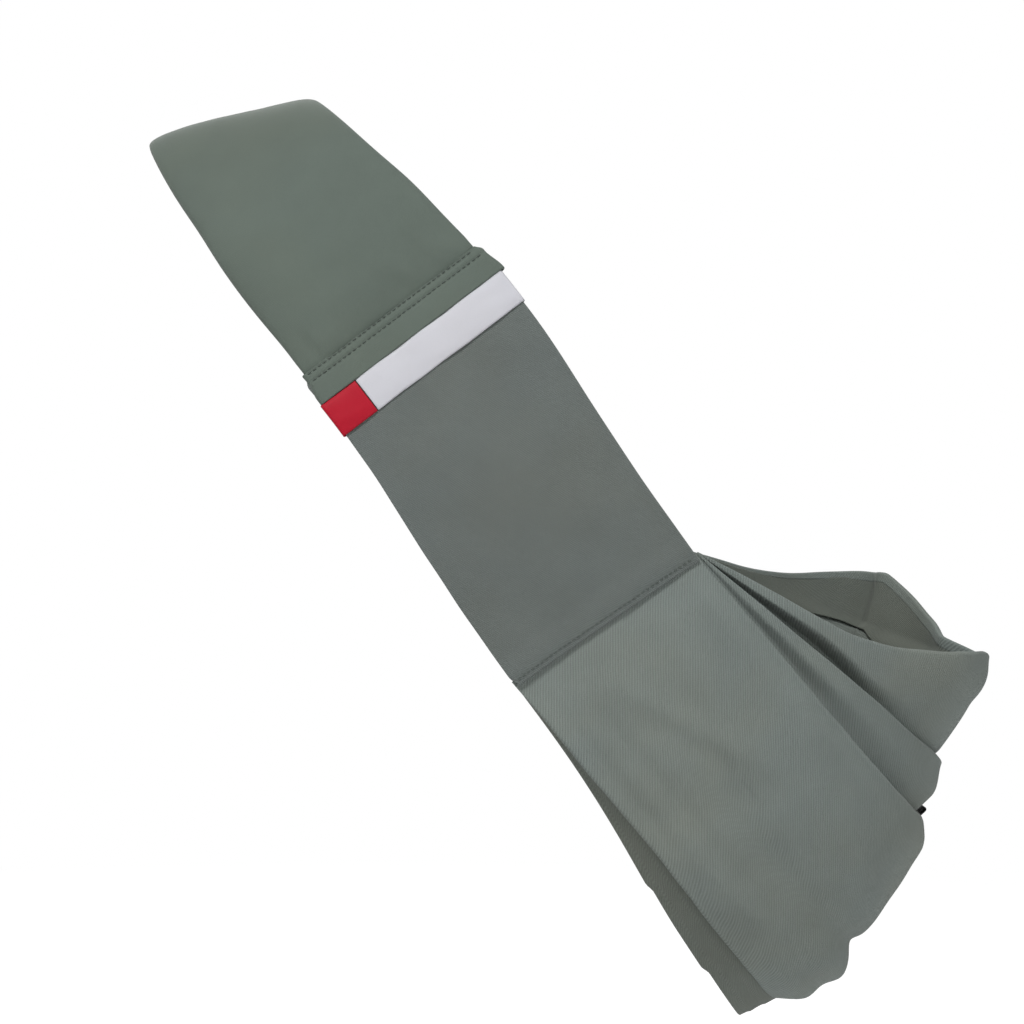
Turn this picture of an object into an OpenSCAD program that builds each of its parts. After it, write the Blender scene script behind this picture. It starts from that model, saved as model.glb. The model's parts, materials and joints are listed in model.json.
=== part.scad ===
// Cross-body support sling: a padded shoulder, a two-layer strap and a pleated pouch,
// sewn into one closed loop. Millimetres. The origin is the underside of the pad on the
// shoulder crest. +X runs towards the pouch, +Y towards the back, +Z up.

/* [Loop] */
// Width of the strap
strap_w = 115; // [100:1:130]
// Distance down the strap's line from the shoulder crest to the end of the loop's ellipse
loop_len = 555; // [540:1:570]
// Half of the loop's depth, front to back
half_depth = 119; // [112:1:126]
// Slope of the strap's width direction on the chest, in degrees
strap_tilt = 37; // [34:1:40]
// Slope of the width direction on top of the shoulder, in degrees
shoulder_tilt = 14; // [10:1:20]

/* [Shoulder pad] */
// Distance down the strap's line from the crest to the lower end of the pad's hem
pad_reach = 160.5; // [154:0.5:166]
// Height of the flat hem below the foam
hem_len = 26; // [22:1:30]
// Width of the pad at the crest
pad_w = 104; // [96:1:112]
// Height of the padded part above its lining
pad_h = 11; // [8:0.5:14]
// Height of the padded part where it meets its hems
pad_end_h = 2.5; // [2:0.1:4]

/* [Strap] */
// Distance down the strap's line from the crest to the seam with the pouch
seam_reach = 338; // [330:1:346]
// Thickness of one layer of strap canvas
canvas_t = 1.2; // [0.8:0.1:1.6]
// Width of the label ribbon
label_w = 20; // [16:1:24]
// Share of the ribbon that is red
label_red_share = 0.19; // [0.1:0.01:0.3]

/* [Pouch] */
// Thickness of one layer of pouch twill
twill_t = 1.5; // [1:0.1:2]
// Length of the outer panel from the seam to the hip, along its upper edge
panel_reach_upper = 208; // [204:1:214]
// Length of the outer panel from the seam to the hip, along its lower edge
panel_reach_lower = 238; // [230:1:246]
// Angle of the outer panel below the horizontal
panel_angle = 49.4; // [48:0.1:51]
// How far the outer panel swells between its folds
panel_bulge = 7; // [0:0.5:10]
// Angle of the pouch's lower fold below the horizontal
bottom_angle = 56.6; // [55:0.1:59]
// Length of the pouch's lower fold from the seam to the hip
bottom_reach = 227; // [220:1:232]
// Radius of the middle pleat about the fan's axis
pleat_r = 196; // [194:1:199]
// Angle of the middle pleat's ridge below the horizontal
pleat_ridge = 39.4; // [36:0.1:43]
// Radius of the top rail about the fan's axis
rail_r = 190; // [184:1:192]
// Angle of the rail's rim below the horizontal, at the front
rim_front = 20.5; // [16:0.5:24]
// Angle of the rail's rim below the horizontal, at the back
rim_rear = 6; // [2:0.5:12]

/* [Hidden] */

sage = [0.40, 0.43, 0.40];
canvas_grey = [0.40, 0.42, 0.41];
twill_grey = [0.44, 0.47, 0.45];
lining_grey = [0.35, 0.38, 0.36];
thread_grey = [0.48, 0.50, 0.48];

loop_a = loop_len / 2;
hem_angle = acos(1 - (pad_reach - hem_len) / loop_a);
gap = 0.3;
thread_t = 0.5;

// Heights above the loop's inner surface, from the wearer outwards
face_z = canvas_t + gap;
trim_z = face_z + canvas_t + gap;
trim_t = 1;

// Steps along and across the swept pieces
pad_steps = 26;
pad_across = 8;
pouch_steps = 28;
pouch_across = 3;
fan_across = 8;
strip_steps = 16;

// ---- The loop: angle 0 is the shoulder crest, 90 the chest, 180 the hip, 270 the back ----

function reach_angle(reach) = acos(1 - reach / loop_a);
function clamp01(x) = max(0, min(1, x));
function crest_share(angle) = clamp01((cos(angle) - cos(hem_angle)) / (1 - cos(hem_angle)));
function tilt(angle) = strap_tilt - (strap_tilt - shoulder_tilt) * pow(crest_share(angle), 2);
function across_dir(tilt_deg) = [cos(tilt_deg), 0, sin(tilt_deg)];
function along_dir(tilt_deg) = [sin(tilt_deg), 0, -cos(tilt_deg)];

// Outward normal of the ellipse, as [along, Y]
function ellipse_normal(angle) =
    let (raw = [-half_depth * cos(angle), -loop_a * sin(angle)])
    raw / norm(raw);

// A point of the loop in its flat side view [along, Y], at a height above the inner surface
function side_point(angle, height) =
    [loop_a * (1 - cos(angle)), -half_depth * sin(angle)] + height * ellipse_normal(angle);

function loop_point(angle, across, height) =
    let (
        centre = loop_a * (1 - cos(angle)) * along_dir(strap_tilt)
            + [0, -half_depth * sin(angle), 0],
        normal = ellipse_normal(angle)
    )
    centre + across * across_dir(tilt(angle))
        + height * (normal[0] * along_dir(tilt(angle)) + [0, normal[1], 0]);

// ---- A closed solid between two grids of points with the same rows and columns ----

module between(top, bottom) {
    rows = len(top);
    cols = len(top[0]);
    half = rows * cols;
    flat = [for (grid = [top, bottom]) for (row = grid) for (p = row) p];
    quads = concat(
        [for (i = [0:rows - 2]) for (j = [0:cols - 2])
            [i * cols + j, i * cols + j + 1, (i + 1) * cols + j + 1, (i + 1) * cols + j]],
        [for (i = [0:rows - 2]) for (j = [0:cols - 2])
            [half + (i + 1) * cols + j, half + (i + 1) * cols + j + 1,
             half + i * cols + j + 1, half + i * cols + j]],
        [for (i = [0:rows - 2])
            [i * cols, (i + 1) * cols, half + (i + 1) * cols, half + i * cols]],
        [for (i = [0:rows - 2]) let (j = cols - 1)
            [(i + 1) * cols + j, i * cols + j, half + i * cols + j, half + (i + 1) * cols + j]],
        [for (j = [0:cols - 2]) [j + 1, j, half + j, half + j + 1]],
        [for (j = [0:cols - 2]) let (i = rows - 1)
            [i * cols + j, i * cols + j + 1, half + i * cols + j + 1, half + i * cols + j]]
    );
    polyhedron(flat, [for (q = quads) for (t = [[q[0], q[1], q[2]], [q[0], q[2], q[3]]]) t]);
}

// ---- Shoulder pad ----

function pad_width(angle) = strap_w - 3 - (strap_w - 3 - pad_w) * crest_share(angle);

// The padded part thins towards its hems
function pad_height(angle) =
    pad_end_h + (pad_h - pad_end_h) * sqrt(1 - pow(min(1, abs(angle) / hem_angle), 12));

// Cross-section of the padded part: a half superellipse, shrunk by inset on every side
function pad_section(angle, inset) = [
    for (k = [0:pad_across])
        let (
            a = 180 - 180 * k / pad_across,
            c = sign(cos(a)) * pow(abs(cos(a)), 0.5),
            s = pow(abs(sin(a)), 0.5)
        )
        [(pad_width(angle) / 2 - inset) * c, face_z + (pad_height(angle) - inset) * s]
];

pad_angles = [for (i = [0:pad_steps]) hem_angle * sin(90 * (2 * i / pad_steps - 1))];
function pad_grid(share, inset, least) = [
    for (a = share * pad_angles)
        [for (q = pad_section(a, inset)) loop_point(a, q[0], max(q[1], least))]
];
function pad_floor(share, inset, height) = [
    for (a = share * pad_angles) [for (q = pad_section(a, inset)) loop_point(a, q[0], height)]
];

cover_t = 1;
foam_clear = 1;
foam_inset = cover_t + foam_clear;
foam_share = 0.96;
foam_floor = canvas_t + foam_clear;
foam_edge_h = 0.5;

module pad_cover() {
    color(sage) between(pad_grid(1, 0, face_z), pad_grid(1, cover_t, face_z));
}

module pad_foam() {
    color([0.9, 0.9, 0.85]) between(pad_grid(foam_share, foam_inset, foam_floor + foam_edge_h),
        pad_floor(foam_share, foam_inset, foam_floor));
}

module pad_lining() {
    widths = [for (k = [0:pad_across]) k / pad_across - 0.5];
    color(lining_grey) between(
        [for (a = pad_angles) [for (w = widths) loop_point(a, w * pad_width(a), canvas_t)]],
        [for (a = pad_angles) [for (w = widths) loop_point(a, w * pad_width(a), 0)]]
    );
}

// ---- Strips that lie on the straight part of the loop, extruded across the strap ----

// Local X runs down the strap, local Y is +Y, local Z runs across the strap
module strap_frame() {
    rotate([0, 90 - strap_tilt, 0]) children();
}

// reach0 and reach1 are distances down the strap, low and high heights above its inside
module strip(reach0, reach1, low, high, across0 = -strap_w / 2, across1 = strap_w / 2) {
    angles = [for (i = [0:strip_steps])
        let (t = i / strip_steps) reach_angle(reach0) * (1 - t) + reach_angle(reach1) * t];
    outline = concat(
        [for (a = angles) side_point(a, low)],
        [for (i = [strip_steps:-1:0]) side_point(angles[i], high)]
    );
    strap_frame() translate([0, 0, across0]) linear_extrude(across1 - across0) polygon(outline);
}

module at_back() {
    mirror([0, 1, 0]) children();
}

foam_end = pad_reach - hem_len;

module pad_hem() {
    strip(foam_end + gap, pad_reach, trim_z, trim_z + trim_t, -strap_w / 2 - 1, strap_w / 2 + 1);
}

// Two rows across the hem
module hem_threads() {
    for (reach = [pad_reach - 17, pad_reach - 12.5])
        strip(reach - thread_t, reach + thread_t, trim_z + trim_t + 0.02,
            trim_z + trim_t + thread_t, -strap_w / 2 + 2, strap_w / 2 - 2);
}

module strap_face() {
    strip(foam_end + 1, seam_reach, face_z, face_z + canvas_t);
}

module strap_lining() {
    strip(foam_end + 1, seam_reach, 0, canvas_t);
}

seam_hem_len = 12;
seam_thread_reach = seam_reach - 2.6;

module seam_hem() {
    strip(seam_reach - seam_hem_len, seam_reach + 0.6, trim_z, trim_z + trim_t);
}

module seam_thread() {
    strip(seam_thread_reach - thread_t, seam_thread_reach + thread_t,
        trim_z + trim_t + 0.02, trim_z + trim_t + thread_t, -strap_w / 2 + 1, strap_w / 2 - 1);
}

// ---- Label ribbon: proud of both strap edges ----

label_start = pad_reach + gap;
label_half = strap_w / 2 + 2;
label_red_w = label_red_share * 2 * label_half;

module label_ribbon() {
    color("white") strip(label_start, label_start + label_w, trim_z, trim_z + trim_t,
        -label_half + label_red_w, label_half);
}

module label_end() {
    color([0.7, 0, 0.13]) strip(label_start, label_start + label_w, trim_z, trim_z + trim_t,
        -label_half, -label_half + label_red_w);
}

// ---- Pouch ----

// The fan's axis runs along Y through the upper corner of both seams
seam_angle = reach_angle(seam_reach);
seam_centre = loop_point(seam_angle, 0, 0);
fan_axis = loop_point(seam_angle, strap_w / 2, 0);
seam_y = fan_axis[1];

// Plan of every pouch layer: share of its reach, and share of its half depth
plan_power = 2.3;
function plan_reach(v) = pow(abs(sin(180 * v)), 2 / plan_power);
function plan_depth(v) = sign(cos(180 * v)) * pow(abs(cos(180 * v)), 2 / plan_power);
function down_dir(angle) = [cos(angle), 0, -sin(angle)];
function mix(a, b, t) = a * (1 - t) + b * t;
function smooth(x) = let (t = clamp01(x)) t * t * (3 - 2 * t);
pouch_vs = [for (i = [0:pouch_steps]) i / pouch_steps];

// The outer panel: across is 0 at the lower fold and 1 at the upper fold
function panel_point(v, across, height) =
    let (
        start = loop_point(seam_angle, (across - 0.5) * strap_w, 0),
        swell = panel_bulge * 4 * across * (1 - across),
        reach = mix(panel_reach_lower, panel_reach_upper, across) + swell + height
    )
    [start[0], 0, start[2]]
        + (gap * 2 + reach * plan_reach(v)) * down_dir(panel_angle)
        + [0, (seam_y - height) * plan_depth(v), 0];

// A layer of the fan: angle is below the horizontal, inset is towards the axis
function fan_point(v, angle, radius, depth) =
    [fan_axis[0], 0, fan_axis[2]]
        + (radius * plan_reach(v) + fan_core) * down_dir(angle)
        + [0, -depth * plan_depth(v), 0];

// The fan's layers start this far from the axis
fan_core = 2;

function shares(n) = [for (j = [0:n]) j / n];

module pouch_outer_panel() {
    color(twill_grey) between(
        [for (v = pouch_vs) [for (t = shares(pouch_across)) panel_point(v, t, twill_t)]],
        [for (v = pouch_vs) [for (t = shares(pouch_across)) panel_point(v, t, 0)]]
    );
}

// Clear distances between the pouch's layers, front to back
layer_gap = 1;
pleat_depth = -seam_y - layer_gap;
rail_depth = pleat_depth - twill_t - layer_gap;
leaf_gap = 0.8;
leaf_depth = rail_depth - twill_t - leaf_gap;
wall_gap = 3;
wall_depth = leaf_depth - twill_t - wall_gap;

// low0 and rim0 are the layer's edges at the front, low1 and rim1 at the back
module fan_layer(radius, depth, low0, low1, rim0, rim1) {
    function turn(v) = smooth((v - 0.45) / 0.3);
    function angle(v, t) = mix(mix(low0, low1, turn(v)), mix(rim0, rim1, turn(v)), t);
    function grid(inset) = [for (v = pouch_vs) [for (t = shares(fan_across))
        fan_point(v, angle(v, t), radius - inset, depth - inset)]];
    color(twill_grey) between(grid(0), grid(twill_t));
}

pleat_low = 66;
rail_low = 60;
leaf_angle = 16;
pleat_lift = 4;

module middle_pleat() {
    fan_layer(pleat_r, pleat_depth, pleat_low, pleat_low, pleat_ridge, pleat_ridge - pleat_lift);
}

module top_rail() {
    fan_layer(rail_r, rail_depth, rail_low, rail_low, rim_front, rim_rear);
}

// The rail's edge is turned in, so a second leaf backs its upper part
module rail_inner_leaf() {
    fan_layer(rail_r - twill_t - leaf_gap, leaf_depth,
        rim_front + leaf_angle, rim_rear + leaf_angle, rim_front, rim_rear);
}

// The lower fold of the pouch runs from the seam's lower corner round under the hip
function bottom_point(v, height) =
    let (start = loop_point(seam_angle, -strap_w / 2, 0))
    [start[0], 0, start[2]] + (bottom_reach * plan_reach(v) + height) * down_dir(bottom_angle)
        + [0, -(wall_depth + height) * plan_depth(v), 0];

// The rim of the body-side wall bulges a little from the fan's axis
wall_bulge = 24;
wall_drop = 4;
function wall_rim_point(v, height) =
    [fan_axis[0] - 2 + (wall_bulge + height) * plan_reach(v), 0, fan_axis[2] - wall_drop]
        + [0, -(wall_depth + height) * plan_depth(v), 0];

module pouch_inner_wall() {
    color(lining_grey) between(
        [for (v = pouch_vs) [for (t = shares(pouch_across))
            mix(bottom_point(v, twill_t), wall_rim_point(v, twill_t), t)]],
        [for (v = pouch_vs) [for (t = shares(pouch_across))
            mix(bottom_point(v, 0), wall_rim_point(v, 0), t)]]
    );
}

module pouch_bottom() {
    lift = [0, 0, twill_t];
    color(twill_grey) between(
        [for (v = pouch_vs) [for (t = shares(2))
            mix(bottom_point(v, twill_t + gap), panel_point(v, 0, -gap), t)]],
        [for (v = pouch_vs) [for (t = shares(2))
            mix(bottom_point(v, twill_t + gap), panel_point(v, 0, -gap), t) + lift]]
    );
}

// ---- Black webbing tab, folded double, sewn inside the panel's upper edge at the hip ----

tab_w = 12;
tab_y = 12;
tab_r1 = panel_reach_upper - 1.4;
tab_r0 = tab_r1 - 3;

module tab_arc(r0, r1, angle0, angle1, width) {
    steps = 6;
    angles = [for (i = [0:steps]) mix(angle0, angle1, i / steps)];
    outline = concat(
        [for (a = angles) [r0 * cos(a), -r0 * sin(a)]],
        [for (i = [steps:-1:0]) [r1 * cos(angles[i]), -r1 * sin(angles[i])]]
    );
    translate([fan_axis[0], tab_y + width / 2, fan_axis[2]])
        rotate([90, 0, 0]) linear_extrude(width) polygon(outline);
}

module webbing_tab() {
    color([0.05, 0.05, 0.05]) tab_arc(tab_r0, tab_r1, panel_angle + 5.5, panel_angle - 0.7, tab_w);
}

module tab_bartack() {
    color([0.05, 0.05, 0.05])
        tab_arc(tab_r0 - 0.7, tab_r0 - 0.05, panel_angle + 4, panel_angle + 3.4, tab_w - 2);
}

pad_cover();
pad_foam();
pad_lining();
color(sage) pad_hem();  // front_pad_hem
color(sage) at_back() pad_hem();  // rear_pad_hem
color(thread_grey) hem_threads();  // front_hem_threads
color(thread_grey) at_back() hem_threads();  // rear_hem_threads
label_ribbon();
label_end();
color(canvas_grey) strap_face();  // front_strap_face
color(lining_grey) strap_lining();  // front_strap_lining
color(canvas_grey) at_back() strap_face();  // rear_strap_face
color(lining_grey) at_back() strap_lining();  // rear_strap_lining
color(canvas_grey) seam_hem();  // front_seam_hem
color(canvas_grey) at_back() seam_hem();  // rear_seam_hem
color(thread_grey) seam_thread();  // front_seam_thread
color(thread_grey) at_back() seam_thread();  // rear_seam_thread
pouch_outer_panel();
pouch_bottom();
pouch_inner_wall();
webbing_tab();
tab_bartack();
middle_pleat();
top_rail();
rail_inner_leaf();
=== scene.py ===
"""Looks of the cross-body sling: every cloth layer as its own sheet around the CAD frame."""
import json
import math

import bpy
import numpy as np
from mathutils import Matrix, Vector


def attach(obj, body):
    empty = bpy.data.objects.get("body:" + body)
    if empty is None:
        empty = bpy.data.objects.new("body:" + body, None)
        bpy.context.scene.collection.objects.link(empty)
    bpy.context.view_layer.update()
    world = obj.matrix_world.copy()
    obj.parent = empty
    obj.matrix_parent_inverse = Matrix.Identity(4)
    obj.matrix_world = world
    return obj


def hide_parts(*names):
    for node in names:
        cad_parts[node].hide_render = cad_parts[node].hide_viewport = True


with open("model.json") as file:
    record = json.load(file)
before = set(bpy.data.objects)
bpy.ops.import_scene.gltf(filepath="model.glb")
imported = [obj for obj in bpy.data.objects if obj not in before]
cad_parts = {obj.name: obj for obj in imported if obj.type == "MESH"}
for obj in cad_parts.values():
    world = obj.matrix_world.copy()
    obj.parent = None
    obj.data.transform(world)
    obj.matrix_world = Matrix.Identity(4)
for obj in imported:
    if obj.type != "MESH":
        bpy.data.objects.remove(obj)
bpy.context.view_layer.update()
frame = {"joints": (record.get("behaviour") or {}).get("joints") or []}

MM = 0.001

# ---- Driving dimensions, in millimetres and degrees, as in the CAD model ----

STRAP_W = 115.0
LOOP_LEN = 555.0
HALF_DEPTH = 119.0
STRAP_TILT = 37.0
SHOULDER_TILT = 14.0
PAD_REACH = 160.5
HEM_LEN = 26.0
PAD_W = 104.0
PAD_H = 11.0
PAD_END_H = 2.5
SEAM_REACH = 338.0
LABEL_W = 20.0
LABEL_RED_SHARE = 0.19
PANEL_UPPER = 208.0
PANEL_LOWER = 238.0
PANEL_ANGLE = 49.4
PANEL_BULGE = 7.0
BOTTOM_ANGLE = 56.6
BOTTOM_REACH = 227.0
PLEAT_R = 196.0
PLEAT_RIDGE = 39.4
RAIL_R = 190.0
RIM_FRONT = 20.5
RIM_REAR = 6.0
PLAN_POWER = 2.3
FAN_CORE = 2.0
CANVAS_T = 1.2
TWILL_T = 1.5
GAP = 0.3

LOOP_A = LOOP_LEN / 2
FACE_Z = CANVAS_T + GAP
TRIM_Z = FACE_Z + CANVAS_T + GAP
FOAM_END = PAD_REACH - HEM_LEN
RAD = math.pi / 180


def reach_angle(reach):
    return np.arccos(1 - np.asarray(reach, float) / LOOP_A)


HEM_ANGLE = float(reach_angle(FOAM_END))
SEAM_ANGLE = float(reach_angle(SEAM_REACH))


def smooth(x):
    t = np.clip(x, 0, 1)
    return t * t * (3 - 2 * t)


def bump(x, centre, width):
    return np.exp(-(((x - centre) / width) ** 2))


def mix(a, b, t):
    return a * (1 - t) + b * t


def ripple(a, b, seed, octaves=4):
    """Smooth, repeatable wandering between about -1 and 1; a and b are in its own wavelengths."""
    rng = np.random.default_rng(seed)
    total = 0.0
    for k in range(octaves):
        heading = rng.uniform(0, 2 * math.pi)
        phase = rng.uniform(0, 2 * math.pi)
        wave = 2 * math.pi * (0.7 + 0.55 * k)
        total = total + np.sin(wave * (a * math.cos(heading) + b * math.sin(heading)) + phase) / (1 + k)
    return total / sum(1 / (1 + k) for k in range(octaves))


# ---- The loop: angle 0 is the shoulder crest, positive angles run down the front ----

def crest_share(angle):
    share = (np.cos(angle) - math.cos(HEM_ANGLE)) / (1 - math.cos(HEM_ANGLE))
    return np.clip(share, 0, 1)


def tilt(angle):
    return (STRAP_TILT - (STRAP_TILT - SHOULDER_TILT) * crest_share(angle) ** 2) * RAD


def sway(reach):
    """The strap bows a little towards the neck below the pad."""
    return 6.5 * bump(reach, 178, 80) - 1.5 * bump(reach, 330, 50)


def loop_point(angle, across, height):
    angle, across, height = np.broadcast_arrays(
        np.asarray(angle, float), np.asarray(across, float), np.asarray(height, float))
    reach = LOOP_A * (1 - np.cos(angle))
    normal = np.stack([-HALF_DEPTH * np.cos(angle), -LOOP_A * np.sin(angle)], -1)
    normal = normal / np.linalg.norm(normal, axis=-1, keepdims=True)
    slope = tilt(angle)
    base = STRAP_TILT * RAD
    shifted = across + sway(reach)
    x = reach * math.sin(base) + shifted * np.cos(slope) + height * normal[..., 0] * np.sin(slope)
    z = -reach * math.cos(base) + shifted * np.sin(slope) - height * normal[..., 0] * np.cos(slope)
    y = -HALF_DEPTH * np.sin(angle) + height * normal[..., 1]
    return np.stack([x, y, z], -1)

JOINTS = {joint["name"]: joint for joint in frame["joints"]}
FAN_X = JOINTS["rail_fan"]["pos_m"][0] / MM
FAN_Z = JOINTS["rail_fan"]["pos_m"][2] / MM
SEAM_Y = float(loop_point(SEAM_ANGLE, 0, 0)[1])


# ---- The pouch: v runs 0 at the front seam, 0.5 at the hip, 1 at the rear seam ----

def plan_reach(v):
    return np.abs(np.sin(math.pi * v)) ** (2 / PLAN_POWER)


def plan_depth(v):
    c = np.cos(math.pi * v)
    return np.sign(c) * np.abs(c) ** (2 / PLAN_POWER)


def even_steps(reach, depth, count):
    """Values of v that are evenly spaced along a layer's plan."""
    fine = np.linspace(0, 1, 4001)
    gaps = np.hypot(np.diff(reach * plan_reach(fine)), np.diff(depth * plan_depth(fine)))
    length = np.concatenate([[0], np.cumsum(gaps)])
    return np.interp(np.linspace(0, length[-1], count), length, fine), length[-1]


def down_dir(angle):
    a = np.asarray(angle, float) * RAD
    return np.stack([np.cos(a), np.zeros_like(a), -np.sin(a)], -1)


def panel_reach(q):
    """Distance from the seam to the hip across the outer panel, 0 at the lower fold, 1 at the upper."""
    swell = PANEL_BULGE * 4 * q.clip(0, 1) * (1 - q.clip(0, 1))
    lobe = 5 * bump(q, 0.25, 0.1) - 3.4 * bump(q, 0.39, 0.045)
    corner = 11 * ((0.06 - q) / 0.14).clip(0, 1) ** 1.6
    return mix(PANEL_LOWER, PANEL_UPPER, q) + swell + lobe - corner


def panel_point(v, across, height, lead=0.0):
    """across is the distance from the strap's middle; lead is a distance up under the seam hem."""
    v, across, height, lead = np.broadcast_arrays(*(np.asarray(k, float) for k in (v, across, height, lead)))
    q = across / STRAP_W + 0.5
    start = loop_point(SEAM_ANGLE, across, 0) * [1, 0, 1]
    reach = (panel_reach(q) + height) * plan_reach(v) + 2 * GAP - lead
    shift = reach[..., None] * down_dir(np.full_like(reach, PANEL_ANGLE))
    shift[..., 1] = (SEAM_Y - height) * plan_depth(v)
    return start + shift


def fan_point(v, angle, radius, depth):
    v, angle, radius, depth = np.broadcast_arrays(*(np.asarray(k, float) for k in (v, angle, radius, depth)))
    point = (radius * plan_reach(v) + FAN_CORE)[..., None] * down_dir(angle)
    point[..., 1] = -depth * plan_depth(v)
    return point + [FAN_X, 0, FAN_Z]


# ---- Meshes ----

def piece_from(node, points, faces, uv=None):
    name = f"sewn_{node}"
    mesh = bpy.data.meshes.new(name)
    mesh.from_pydata((np.asarray(points) * MM).tolist(), [], [list(f) for f in faces])
    if uv is not None:
        layer = mesh.uv_layers.new(name="weave")
        corners = np.empty(len(mesh.loops), int)
        mesh.loops.foreach_get("vertex_index", corners)
        layer.data.foreach_set("uv", (np.asarray(uv) * MM)[corners].ravel())
    mesh.shade_smooth()
    mesh.update()
    obj = bpy.data.objects.new(name, mesh)
    bpy.context.scene.collection.objects.link(obj)
    return obj


def quads_between(ring_a, ring_b):
    follow_a, follow_b = np.roll(ring_a, -1), np.roll(ring_b, -1)
    return np.stack([ring_a, follow_a, follow_b, ring_b], -1)


def unit(vectors):
    return vectors / np.maximum(np.linalg.norm(vectors, axis=-1, keepdims=True), 1e-9)


def shell(name, mid, thickness, uv):
    """A closed cloth layer around a grid of mid-surface points, with rounded long edges."""
    rows, cols = mid.shape[:2]
    normal = unit(np.cross(np.gradient(mid, axis=0), np.gradient(mid, axis=1)))
    half = thickness / 2
    outer = mid + normal * half
    inner = mid - normal * half
    edge0 = mid[:, 0] + unit(mid[:, 0] - mid[:, 1]) * half
    edge1 = mid[:, -1] + unit(mid[:, -1] - mid[:, -2]) * half
    ring_len = 2 * cols + 2
    rings = np.concatenate([edge0[:, None], outer, edge1[:, None], inner[:, ::-1]], 1)
    uvs = np.concatenate([uv[:, :1], uv, uv[:, -1:], uv[:, ::-1]], 1)
    index = np.arange(rows * ring_len).reshape(rows, ring_len)
    faces = [list(f) for i in range(rows - 1) for f in quads_between(index[i + 1], index[i])]
    for i, flip in ((0, False), (rows - 1, True)):
        row = index[i]
        top, bottom = row[1:cols + 1], row[cols + 2:][::-1]
        cap = [[row[0], top[0], bottom[0]], [row[cols + 1], bottom[-1], top[-1]]]
        cap += [[top[j], top[j + 1], bottom[j + 1], bottom[j]] for j in range(cols - 1)]
        faces += [f[::-1] if flip else f for f in cap]
    return piece_from(name, rings.reshape(-1, 3), faces, uvs.reshape(-1, 2))


def tube(name, rings, uv):
    """A closed form through rings of points, its two ends shut."""
    rows, cols = rings.shape[:2]
    index = np.arange(rows * cols).reshape(rows, cols)
    faces = [list(f) for i in range(rows - 1) for f in quads_between(index[i], index[i + 1])]
    faces += [list(index[0][::-1]), list(index[-1])]
    return piece_from(name, rings.reshape(-1, 3), faces, uv.reshape(-1, 2))


def steps_along(points):
    gaps = np.linalg.norm(np.diff(points, axis=0), axis=-1)
    return np.concatenate([np.zeros((1,) + gaps.shape[1:]), np.cumsum(gaps, axis=0)], 0)


def lengths_uv(mid):
    """Cloth coordinates: distance along the rows and distance across them."""
    along = steps_along(mid)
    across = steps_along(np.swapaxes(mid, 0, 1)).T
    return np.stack([across, along.mean(1, keepdims=True) + 0 * along], -1)


def dress(obj, slot_name, body, *nodes):
    obj.data.materials.append(MATERIALS[slot_name])
    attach(obj, body)
    if nodes:
        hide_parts(*nodes)
    return obj


def sheet(name, mid, thickness, slot_name, body, nodes=(), uv=None):
    obj = shell(name, mid, thickness, lengths_uv(mid) if uv is None else uv)
    dress(obj, slot_name, body, *nodes)
    return obj


def wrap_section(left, right, high, low, tuck, count=60):
    """[across, height] of a strip from under its left edge, over the top, to under its right edge."""
    radius = (high - low) / 2
    middle = (high + low) / 2
    turn = np.linspace(-math.pi / 2, math.pi / 2, 13)[1:-1]
    under_left = np.stack([np.linspace(-left + radius + tuck, -left + radius, 6), np.full(6, low)], -1)
    turn_left = np.stack([-left + radius - radius * np.cos(turn), middle + radius * np.sin(turn)], -1)
    top = np.stack([np.linspace(-left + radius, right - radius, count), np.full(count, high)], -1)
    turn_right = turn_left[::-1] * [-1, 1] + [right - left, 0]
    under_right = under_left[::-1] * [-1, 1] + [right - left, 0]
    return np.concatenate([under_left, turn_left, top, turn_right, under_right])


def fold_path(points, radius, tuck, count=8):
    """Continues a flat path [along, height] round a fold at its end and back underneath."""
    end = points[-1]
    turn = np.linspace(math.pi / 2, -math.pi / 2, 9)[1:]
    bend = np.stack([end[0] + radius * np.cos(turn), end[1] - radius + radius * np.sin(turn)], -1)
    back = np.stack([np.linspace(end[0], end[0] - tuck, count)[1:], np.full(count - 1, end[1] - 2 * radius)], -1)
    return np.concatenate([points, bend, back])


def back_copy(points):
    return points * [1, -1, 1]


SIDES = {"front": lambda points: points, "rear": back_copy}


# ---- Stitches ----

def stitch_row(points, out, length=2.7, gap=0.55, radius=0.27, rise=0.3, seed=1):
    """Vertices and faces of separate stitches along a path; out is the surface's outward direction."""
    rng = np.random.default_rng(seed)
    path_len = np.concatenate([[0], np.cumsum(np.linalg.norm(np.diff(points, axis=0), axis=1))])
    verts, faces, sides = [], [], 6
    place = gap
    while place + length < path_len[-1]:
        spots = place + length * np.linspace(0, 1, 5)
        spine = np.stack([np.interp(spots, path_len, points[:, k]) for k in range(3)], -1)
        lift = unit(np.stack([np.interp(spots, path_len, out[:, k]) for k in range(3)], -1))
        forward = unit(spine[-1] - spine[0])
        side = unit(np.cross(forward, lift))
        arch = np.array([-0.5, 0.6, 1, 0.6, -0.5]) * rise
        wobble = rng.uniform(-0.06, 0.06)
        spine = spine + lift * arch[:, None] + side * wobble
        girth = radius * np.array([0.6, 1, 1.05, 1, 0.6])
        start = len(verts)
        for k in range(5):
            for s in range(sides):
                a = 2 * math.pi * s / sides
                verts.append(spine[k] + girth[k] * (math.cos(a) * lift[k] + math.sin(a) * side[k]))
        for k in range(4):
            for s in range(sides):
                a, b = start + k * sides + s, start + k * sides + (s + 1) % sides
                faces.append([a, b, b + sides, a + sides])
        faces.append([start + s for s in range(sides)][::-1])
        faces.append([start + 4 * sides + s for s in range(sides)])
        place += length + gap
    return verts, faces


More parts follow.
